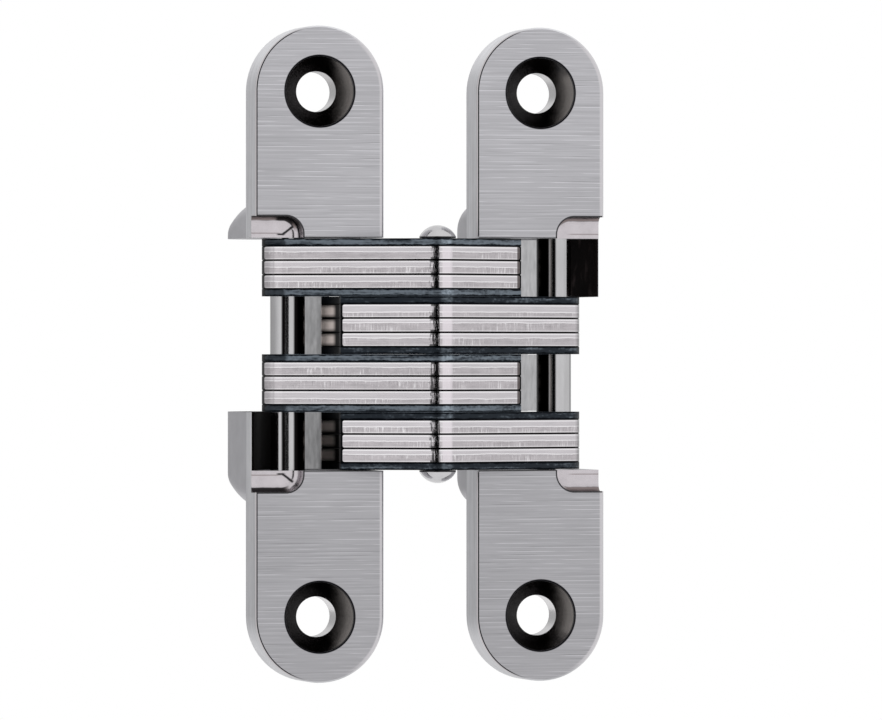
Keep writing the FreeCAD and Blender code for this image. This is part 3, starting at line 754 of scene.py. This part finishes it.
@dataclass(frozen=True)
class LinkFinish:
    """Sheared steel plate: a smooth upper zone, a bright break and a torn lower zone."""

    bar: Surface = Surface((0.52, 0.49, 0.51), 0.17)
    smooth: Colour = (0.61, 0.585, 0.61)
    bright: Colour = (0.86, 0.84, 0.86)
    # pearl: painted highlight band by the plates' bend
    pearl: Colour = (0.76, 0.71, 0.75)
    torn: Colour = (0.36, 0.34, 0.355)
    black: Surface = Surface((0.006, 0.006, 0.007), 0.40)
    # end: painted shade on the right plates' elbow ends
    end: Surface = Surface((0.085, 0.068, 0.066), 0.30)
    # tail: painted light, a lighter copy of the plate's steel where it lies in the cup
    tail: Surface = Surface((0.84, 0.74, 0.70), 0.36, 0.9)
    arc_roughness: float = 0.07
    relief_depth: float = 0.000006  # metres

    break_line: Band = (-0.04, 0.10, 0.06)
    break_shade: Band = (-0.17, -0.08, 0.06)
    upper_glint: Band = (0.17, 0.36, 0.08)
    lower_glint: Band = (0.16, 0.27, 0.08)
    black_edge: Span = (0.15, 0.10)
    bar_depth: Span = (0.9, 0.7)
    elbow_end: Span = (0.62, 0.50)
    elbow_corner: float = 0.40
    tip_corner: float = 0.36
    tip_line: Band = (0.95, 1.15, 0.2)
    tail_run: Span = (-11.4, -12.0)
    tail_depth: Band = (0.25, 9.3, 0.3)
    tail_bright: Span = (7.1, 6.0)
    bend_depth: Span = (-5.5, -6.0)
    bend_stain: Band = (-1.75, -0.62, 0.3)
    bend_run: Span = (1.6, 1.2)
    dent_side: Span = (-0.2, -0.6)

    def make(self, plate: "Plate") -> bpy.types.Material:
        """Make one plate's material.

        Args:
            plate: The plate, for its sizes and its place in the row.

        Returns:
            The finished material.
        """
        skin = PlateSkin(plate, self.bar)
        grain = LinkGrain(skin)
        lower = self._lay_break(skin, grain)
        self._lay_edges(skin)
        self._lay_tail(skin)
        dent = self._lay_bend(skin, grain)
        strokes = grain.strokes * (lower * 0.3 + dent * 4.5)
        relief = grain.patches * 0.6 + grain.streaks * 0.4 + strokes
        return skin.close(relief, self.relief_depth)

    def _lay_break(self, skin: PlateSkin, grain: LinkGrain) -> Signal:
        """Smooth upper zone, the bright break along it and the torn zone below.

        Args:
            skin: The plate's material.
            grain: Its patterns.

        Returns:
            1 in the torn zone.
        """
        plate = skin.plate
        middle = skin.up - plate.thickness * plate.break_share
        crack = middle - grain.wave * 0.34 - grain.ripple * 0.10
        lower = crack.rise(0.03, -0.03)
        torn = lower * grain.rough
        skin.tint(1 - lower, self.smooth, 0.8)
        skin.tint(lower * (grain.patches.rise(-0.15, 0.30) * 0.65), self.torn)
        skin.tint(torn * grain.strokes.rise(0.03, 0.16), self.bright, 0.75)
        skin.tint(torn * grain.strokes.rise(-0.04, -0.17), self.torn, 0.65)
        skin.tint(crack.band(*self.break_line), self.bright, 0.9)
        shade = crack.band(*self.break_shade) * grain.ripple.rise(-0.1, 0.15)
        skin.tint(shade, self.torn, 0.55)
        skin.tone(1 + grain.streaks * 0.36 + grain.patches * 0.12)
        return lower

    def _lay_edges(self, skin: PlateSkin) -> None:
        """Painted highlight band and painted glints, black lines along the plate's edges and round
        its two ends, and painted shade on the right plates' elbow ends.

        Args:
            skin: The plate's material.
        """
        plate = skin.plate
        pearl = skin.run * plate.hand
        # Painted highlight: a pale band by the bend.
        skin.tint(pearl.band(plate.pearl_start, plate.pearl_end, 0.35), self.pearl, 0.75)
        skin.tint(skin.down.band(*self.upper_glint), self.bright, 0.9)
        skin.tint(skin.up.band(*self.lower_glint), self.bright, 0.7)
        skin.over(skin.edge.rise(*self.black_edge), self.black)

        in_bar = skin.depth.rise(*self.bar_depth)
        elbow = skin.run + plate.elbow
        elbow_line = elbow.inside_corner(skin.edge, self.elbow_corner).rise(0.15, 0.09)
        tip_line = skin.tip.inside_corner(skin.edge, self.tip_corner).rise(0.12, 0.07)
        if plate.side is Side.RIGHT:
            # Painted shade: the right plates' elbow ends are darkened.
            skin.over(in_bar * elbow.rise(*self.elbow_end), self.end, 0.9)
        skin.over(in_bar * elbow_line, self.black)
        skin.over(tip_line, self.black)
        skin.tint(skin.tip.band(*self.tip_line), self.torn, 0.35)

    def _lay_tail(self, skin: PlateSkin) -> None:
        """Rounded tail that shows in the cup, painted light at its back and painted shade towards
        its front and edges, which are black.

        Args:
            skin: The plate's material.
        """
        lobe = skin.depth.band(*self.tail_depth) * skin.run.rise(*self.tail_run)
        # Painted light on the tail, and painted shade darkening it towards its edges and front.
        skin.over(lobe, self.tail)
        skin.tone(1 - lobe * skin.edge.rise(0.75, 0.15) * 0.75)
        skin.over(lobe * skin.depth.rise(*self.tail_bright), self.black)
        skin.over(lobe * skin.edge.rise(0.22, 0.14), self.black)

    def _lay_bend(self, skin: PlateSkin, grain: LinkGrain) -> Signal:
        """Polished bend with a dented line beside it that carries a painted dark reflection.

        Args:
            skin: The plate's material.
            grain: Its patterns.

        Returns:
            1 in the dent.
        """
        front = skin.depth.rise(*self.bend_depth)
        # Painted reflection: a dark band beside the bend.
        bend = (skin.across + grain.ripple * 1.1).band(*self.bend_stain) * front
        stain_and_reflection = skin.edge.rise(0.45, 0.30).most(grain.strokes.rise(-0.02, 0.06))
        skin.tint(bend * stain_and_reflection, self.black.colour, 0.85)
        arc = skin.run.magnitude().rise(*self.bend_run) * front
        rough = skin.roughness + grain.patches * 0.12
        skin.roughness = skin.shader.blend(arc, rough, self.arc_roughness)
        return arc * skin.across.rise(*self.dent_side)


@dataclass(frozen=True)
class SpacerFinish:
    """Dark oiled spacer with smears of wear and painted sheen, a painted highlight band, painted
    shade deep in the cup and at the right tips, and ragged edges.
    """

    base: Surface = Surface((0.016, 0.021, 0.028), 0.40, 0.85)
    # worn: smears that are partly wear and partly painted sheen
    worn: Surface = Surface((0.19, 0.225, 0.265), 0.34, 0.7)
    # polished: painted highlight colour for the band by the bend
    polished: Surface = Surface((0.34, 0.40, 0.46), 0.30, 0.8)
    black: Surface = Surface((0.003, 0.004, 0.006), 0.45)
    ragged_waves: Waves = (0.8, 0.8, 0.8)
    smear_waves: Waves = (0.16, 0.16, 1.6)
    speck_waves: Waves = (1.7, 1.7, 2.4)
    relief_depth: float = 0.00002  # metres
    flat_edge: Span = (0.012, 0.006)
    black_edge: Span = (0.26, 0.12)
    tip_corner: float = 0.5
    tip_line: Span = (0.16, 0.08)
    right_tip: Span = (3.2, 2.4)
    # hidden_depth and hidden_run: where the spacer is painted black as shade deep in the cup
    hidden_depth: Span = (0.2, 0.8)
    hidden_run: Span = (-10.0, -11.0)

    def make(self, plate: "Plate") -> bpy.types.Material:
        """Make one spacer's material.

        Args:
            plate: The spacer, for its sizes and its place in the row.

        Returns:
            The finished material.
        """
        skin = PlateSkin(plate, self.base)
        ragged = skin.noise(self.ragged_waves, 4.0)
        smear = skin.noise(self.smear_waves, 3.0)
        speck = skin.noise(self.speck_waves, 4.0)
        not_flat = 1 - skin.edge.rise(*self.flat_edge)
        edge = skin.edge + ragged * 0.48
        corner = skin.tip.inside_corner(edge, self.tip_corner)
        pearl = (skin.run * plate.hand).band(plate.pearl_start, plate.pearl_end, 0.8)
        hidden = skin.depth.rise(*self.hidden_depth) * skin.run.rise(*self.hidden_run)
        worn = smear + speck * 0.6 + plate.side.pick(plate.wear)
        # Smears of wear and painted sheen.
        skin.over(worn.rise(-0.12, 0.28), self.worn, 0.85)
        # Painted highlight: a pale band by the bend, stronger on the right side.
        skin.over(pearl * speck.rise(-0.3, 0.15), self.polished, plate.side.pick(plate.shine))
        skin.over(edge.rise(*self.black_edge) * not_flat, self.black)
        skin.over(corner.rise(*self.tip_line) * not_flat, self.black)
        # Painted shade: the right spacers' tips are darkened.
        if plate.side is Side.RIGHT:
            skin.over((skin.tip + ragged * 2.0).rise(*self.right_tip), self.black, 0.75)
        # Painted shade: the part deep in the cup is painted black.
        skin.over(hidden, self.black, 0.9)
        skin.roughness = skin.roughness + speck * 0.2
        return skin.close(speck * 0.6 + smear * 0.4, self.relief_depth)


@dataclass(frozen=True)
class Stripe:
    """A painted reflection stripe down a pin, between two angles about its axis from its front."""

    start: float
    end: float
    surface: Surface


@dataclass(frozen=True)
class PinFinish:
    """Polished round steel with faint turning marks, stains and painted reflection stripes."""

    bright: Surface = Surface((0.50, 0.495, 0.505), 0.13)
    joint: Surface = Surface((0.02, 0.02, 0.022), 0.3)
    ring_waves: Waves = (0.3, 0.3, 7.0)
    stain_waves: Waves = (0.5, 0.5, 0.12)
    stripe_soft: float = 8.0
    rivet_tone: float = 1.17
    joint_soft: float = 0.08
    relief_depth: float = 0.0000015  # metres

    def make(self, pin: "Pin") -> bpy.types.Material:
        """Make the pin's material.

        Args:
            pin: The pin, for its axis and its stripes.

        Returns:
            The finished material.
        """
        skin = Skin(f"{pin.name}_finish", self.bright)
        rings = skin.noise(self.ring_waves, 2.0)
        stain_and_reflection = skin.noise(self.stain_waves, 3.0)
        skin.tone(1 + stain_and_reflection * 0.35)
        # Painted reflections: stripes at fixed angles about the pin's axis.
        if pin.stripes:
            turn = (skin.across - pin.across).turn(pin.depth - skin.depth) + stain_and_reflection * 2.0
            for stripe in pin.stripes:
                mask = turn.band(stripe.start, stripe.end, self.stripe_soft)
                skin.over(mask, stripe.surface)
        if pin.joint_level:
            level = skin.height.magnitude()
            # Painted light: the rivet is a lighter copy of the pins' finish.
            skin.tone(self.rivet_tone)
            skin.over(level.rise(pin.joint_level + self.joint_soft, pin.joint_level), self.joint)
        skin.roughness = skin.roughness + rings * 0.08 + stain_and_reflection * 0.08
        return skin.close(rings, self.relief_depth)


@dataclass
class LeafCasting:
    """One leaf: face plate, cup, countersinks and recesses, cast in one."""

    side: Side
    finish: LeafFinish = field(default_factory=LeafFinish)
    half_gap: float = 7.0
    width: float = 19.05
    plate: float = 6.5
    screw_half_spacing: float = 38.1
    sink_radius: float = 5.15
    bore_depth: float = 2.53
    pocket_half: float = 16.9
    recess_inset: float = 12.0
    recess_reach: float = 20.0
    recess_depth: float = 3.0
    recess_corner: float = 2.6
    cup_depth: float = 23.21
    inner_sweep: float = 45.0
    inner_corner: float = 2.95
    outer_corner: float = 5.2
    strip_inset: PerSide = (12.4, 13.84)
    # strip_light: how bright each leaf's ground strip glows as painted light
    strip_light: PerSide = (0.56, 0.88)
    # wall_wear: how much wear and painted sheen each leaf's cup walls get
    wall_wear: PerSide = (0.10, 1.0)
    lip_plan: tuple[Place, ...] = ((11.6, 18.15), (12.95, 16.6), (13.1, 16.75), (11.5, 19.2))
    lip_reach: PerSide = (0.0, 0.36)
    lip_levels: Span = (0.05, 8.35)

    def __post_init__(self) -> None:
        """Read the leaf's length from the frame."""
        low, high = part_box(self.name)
        self.half_length = (high.z - low.z) / 2 / MM

    @property
    def name(self) -> str:
        """The node's name."""
        return f"{self.side.word}_leaf"

    def dress(self, nodes: dict[str, bpy.types.Object]) -> None:
        """Give the leaf its finish, and its window the lip that the row's wall ends in.

        Args:
            nodes: The frame's objects by name.
        """
        material = self.finish.make(self)
        dress(nodes[self.name], material)
        dress(self._lip(nodes[self.name]), material)

    def _lip(self, leaf: bpy.types.Object) -> bpy.types.Object:
        """The rolled end of the wall behind the row beside the window.

        Args:
            leaf: The leaf's object, which carries the lip.

        Returns:
            The lip's object.
        """
        sign = self.side.value
        reach = self.side.pick(self.lip_reach)
        low, high = sorted(level * -sign for level in self.lip_levels)
        shape = bmesh.new()
        corners = []
        for (inset, depth), more in zip(self.lip_plan, (0.0, reach, reach, 0.0)):
            across = sign * (self.half_gap + (inset + more))
            corners.append(shape.verts.new((across * MM, depth * MM, low * MM)))
        foot = shape.faces.new(corners)
        grown = bmesh.ops.extrude_face_region(shape, geom=[foot])["geom"]
        top = [part for part in grown if isinstance(part, bmesh.types.BMVert)]
        bmesh.ops.translate(shape, verts=top, vec=(0.0, 0.0, (high - low) * MM))
        return new_piece(f"{self.name}_lip", shape, leaf)


@dataclass
class Plate:
    """A link plate or spacer of one side; the right ones mirror the left ones."""

    name: str
    side: Side
    number: int
    elbow: float = 13.38
    tip: float = 23.75
    pearl_start: float = -0.1
    pearl_end: float = 1.5
    # wear and shine: per-side shift of the spacers' wear and painted sheen, and strength of their
    # painted highlight
    wear: PerSide = (-0.10, 0.16)
    shine: PerSide = (0.30, 0.80)
    pattern_step: float = 7.3
    break_shares: tuple[float, ...] = (0.48, 0.60, 0.66, 0.40, 0.56, 0.50)

    def __post_init__(self) -> None:
        """Read the plate's height from the frame and choose its pattern."""
        low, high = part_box(self.name)
        self.low = low.z / MM
        self.high = high.z / MM
        self.thickness = self.high - self.low
        self.hand = -self.side.value
        self.shift = self.hand * self.number * self.pattern_step
        self.break_share = self.break_shares[self.number % len(self.break_shares)]


@dataclass
class LinkPacks:
    """The link plates and spacers of one side."""

    side: Side
    link: LinkFinish = field(default_factory=LinkFinish)
    spacer: SpacerFinish = field(default_factory=SpacerFinish)
    links: int = 6
    spacers: int = 4
    burr: float = 0.034
    row_height: float = 8.4
    weld: float = 0.001
    crease: float = 30.0

    def dress(self, nodes: dict[str, bpy.types.Object]) -> None:
        """Give each plate a finish of its own.

        Args:
            nodes: The frame's objects by name.
        """
        for number in range(1, self.links + 1):
            plate = Plate(f"{self.side.word}_link_{number}", self.side, number)
            dress(nodes[plate.name], self.link.make(plate))
        for number in range(1, self.spacers + 1):
            plate = Plate(f"{self.side.word}_spacer_{number}", self.side, number)
            dress(self._burred(nodes[plate.name]), self.spacer.make(plate))

    def _burred(self, node: bpy.types.Object) -> bpy.types.Object:
        """A spacer whose face towards the next row stands a hair prouder.

        Args:
            node: The spacer's own object.

        Returns:
            The object that stands for it, or the same one at the end of the stack.
        """
        low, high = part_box(node.name)
        faces = {}
        for level, outward in ((low.z / MM, -1.0), (high.z / MM, 1.0)):
            row = round(level / self.row_height)
            if abs(row) <= 1 and abs(level - row * self.row_height) < 2 * self.burr:
                faces[level] = outward * self.burr
        if not faces:
            return node
        shape = bmesh.new()
        shape.from_mesh(node.data)
        bmesh.ops.remove_doubles(shape, verts=shape.verts[:], dist=self.weld * MM)
        for level, rise in faces.items():
            corners = [v for v in shape.verts if abs(v.co.z / MM - level) < self.burr / 2]
            bmesh.ops.translate(shape, verts=corners, vec=(0.0, 0.0, rise * MM))
        for edge in shape.edges:
            edge.smooth = edge.calc_face_angle(0.0) < math.radians(self.crease)
        return new_piece(f"{node.name}_burred", shape, node, node.name)


@dataclass
class Pin:
    """A pin: where its axis is and which reflections are painted on it."""

    name: str
    stripes: Sequence[Stripe] = ()
    joint_level: float = 0.0

    def __post_init__(self) -> None:
        """Read the pin's axis from the frame."""
        low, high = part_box(self.name)
        self.across = (low.x + high.x) / 2 / MM
        self.depth = (low.y + high.y) / 2 / MM


@dataclass
class Pins:
    """The pivot pins, slide pins and the centre rivet."""

    finish: PinFinish = field(default_factory=PinFinish)
    # oil and rust: colours of the painted reflection stripes
    oil: Surface = Surface((0.004, 0.0035, 0.0035), 0.22)
    rust: Surface = Surface((0.15, 0.135, 0.13), 0.25)
    rivet_joint: float = 17.0

    def dress(self, nodes: dict[str, bpy.types.Object]) -> None:
        """Polish every pin.

        Args:
            nodes: The frame's objects by name.
        """
        # Painted reflections: dark and brown stripes down the slide pins, mostly on their sides
        # towards the hinge's middle.
        left = (Stripe(-33.0, -19.0, self.oil), Stripe(8.0, 170.0, self.oil))
        right = (
            Stripe(-170.0, -29.0, self.oil),
            Stripe(-28.0, -20.0, self.rust),
            Stripe(-19.0, -8.0, self.oil),
        )
        pins = (
            Pin("left_pivot_pin"),
            Pin("right_pivot_pin"),
            Pin("left_slide_pin", left),
            Pin("right_slide_pin", right),
            Pin("centre_pin", joint_level=self.rivet_joint),
        )
        for pin in pins:
            dress(nodes[pin.name], self.finish.make(pin))


def new_piece(
    name: str,
    shape: bmesh.types.BMesh,
    carrier: bpy.types.Object,
    stands_for: Optional[str] = None,
) -> bpy.types.Object:
    """Add a piece that moves with a node.

    Args:
        name: The piece's name.
        shape: Its shape, which is freed.
        carrier: The node whose body it moves with.
        stands_for: The node that it replaces, if any.

    Returns:
        The piece's object.
    """
    bmesh.ops.recalc_face_normals(shape, faces=shape.faces[:])
    mesh = bpy.data.meshes.new(name)
    shape.to_mesh(mesh)
    shape.free()
    piece = bpy.data.objects.new(name, mesh)
    bpy.context.scene.collection.objects.link(piece)
    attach(piece, carrier["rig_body"])
    if stands_for:
        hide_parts(stands_for)
    return piece


def dress(piece: bpy.types.Object, material: bpy.types.Material) -> None:
    """Put a material on a piece and report it.

    Args:
        piece: The piece's object.
        material: Its material.
    """
    piece.data.materials.clear()
    piece.data.materials.append(material)
    LOG.info("dressed %s", piece.name)


@dataclass
class Studio:
    """Camera, floor and the light that polished metal reflects."""

    azimuth: float = -14.0
    distance: float = 1.25  # metres
    millimetres_across: float = 128.16
    aim_right: float = 1.497
    aim_down: float = 0.843
    sensor: float = 36.0
    clip_start: float = 0.05  # metres

    left_panel: Panel = ((-142.0, -130.0), (-31.0, -32.5))
    left_fall: Span = (-120.0, -60.0)
    left_least: float = 0.6
    right_panel: Panel = ((-6.0, -4.0), (62.0, 54.0))
    far_panel: Panel = ((54.0, 62.0), (125.0, 105.0))
    far_light: float = 0.92
    rear: Panel = ((105.0, 125.0), (-130.0, -142.0))
    rear_light: float = 0.5
    flag_light: float = 0.012
    above: Span = (0.12, 0.35)
    above_light: float = 0.95
    below: Span = (-0.55, -0.9)
    below_light: float = 0.5

    floor_level: float = -0.14  # metres
    floor_half: float = 0.7  # metres
    floor_colour: Colour = (0.85, 0.85, 0.85)
    floor_glow: float = 0.8

    def add_camera(self) -> None:
        """Put the camera at the photograph's angle."""
        angle = math.radians(self.azimuth)
        right = Vector((math.cos(angle), math.sin(angle), 0.0))
        back = Vector((math.sin(angle), -math.cos(angle), 0.0))
        target = right * self.aim_right * MM - Vector((0.0, 0.0, self.aim_down * MM))
        data = bpy.data.cameras.new("camera")
        data.sensor_width = self.sensor
        data.lens = self.sensor * self.distance / (self.millimetres_across * MM)
        data.clip_start = self.clip_start
        camera = bpy.data.objects.new("camera", data)
        camera.location = target + back * self.distance
        camera.rotation_euler = (math.pi / 2, 0.0, angle)
        bpy.context.scene.collection.objects.link(camera)
        bpy.context.scene.camera = camera

    def add_world(self) -> None:
        """White all round; the metal also sees a black flag and a dimmer side behind it."""
        world = bpy.data.worlds.new("studio")
        world.use_nodes = True
        bpy.context.scene.world = world
        shader = Shader(world.node_tree)
        x, y, z = shader.split(shader.node("ShaderNodeTexCoord", output="Generated"))
        turn = x.turn(0.0 - y)
        left, right, far = (
            turn.rise(*near_edge) * turn.rise(*far_edge)
            for near_edge, far_edge in (self.left_panel, self.right_panel, self.far_panel)
        )
        rear = turn.rise(*self.rear[0]) + turn.rise(*self.rear[1])
        fall = turn.rise(*self.left_fall) * (1.0 - self.left_least) + self.left_least
        wall = left * fall + right + far * self.far_light + rear * self.rear_light
        level = shader.blend(z.rise(*self.above), wall + self.flag_light, self.above_light)
        level = shader.blend(z.rise(*self.below), level, self.below_light)
        seen = self._seen(shader, "Is Camera Ray", "Is Transmission Ray")
        inputs = {"Color": (1.0, 1.0, 1.0, 1.0), "Strength": shader.blend(seen, level, 1.0)}
        shader.finish("ShaderNodeOutputWorld", shader.node("ShaderNodeBackground", inputs=inputs))

    @staticmethod
    def _seen(shader: Shader, *kinds: str) -> Signal:
        """Tell rays of some kinds from the rest.

        Args:
            shader: The shader that the rays meet.
            kinds: The kinds, as the Light Path node names them.

        Returns:
            1 for rays of those kinds, and 0 for the rest.
        """
        rays = [shader.node("ShaderNodeLightPath", output=kind) for kind in kinds]
        total = rays[0]
        for ray in rays[1:]:
            total = total.most(ray)
        return total

    def add_floor(self) -> None:
        """A plain pale floor below the hinge that keeps a little of its shadow."""
        mesh = bpy.data.meshes.new("floor")
        shape = bmesh.new()
        place = Matrix.Translation((0.0, 0.0, self.floor_level))
        bmesh.ops.create_grid(shape, x_segments=1, y_segments=1, size=self.floor_half, matrix=place)
        shape.to_mesh(mesh)
        shape.free()
        floor = bpy.data.objects.new("floor", mesh)
        bpy.context.scene.collection.objects.link(floor)
        material = bpy.data.materials.new("floor")
        material.use_nodes = True
        shader = Shader(material.node_tree)
        plain = shader.node("ShaderNodeBsdfDiffuse", inputs={"Color": opaque(self.floor_colour)})
        glow = shader.node("ShaderNodeEmission", inputs={"Strength": 1.0})
        seen = self._seen(shader, "Is Camera Ray", "Is Glossy Ray", "Is Transmission Ray")
        shares = {0: seen * self.floor_glow, 1: plain, 2: glow}
        shader.finish("ShaderNodeOutputMaterial", shader.node("ShaderNodeMixShader", inputs=shares))
        mesh.materials.append(material)


def main() -> None:
    """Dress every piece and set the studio."""
    logging.basicConfig(level=logging.INFO, format="%(name)s: %(message)s")
    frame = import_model()
    nodes = frame["nodes"]
    studio = Studio()
    studio.add_camera()
    studio.add_world()
    studio.add_floor()
    bpy.context.scene.view_settings.view_transform = "Standard"
    for side in Side:
        LeafCasting(side).dress(nodes)
        LinkPacks(side).dress(nodes)
    Pins().dress(nodes)


if __name__ == "__main__":
    main()
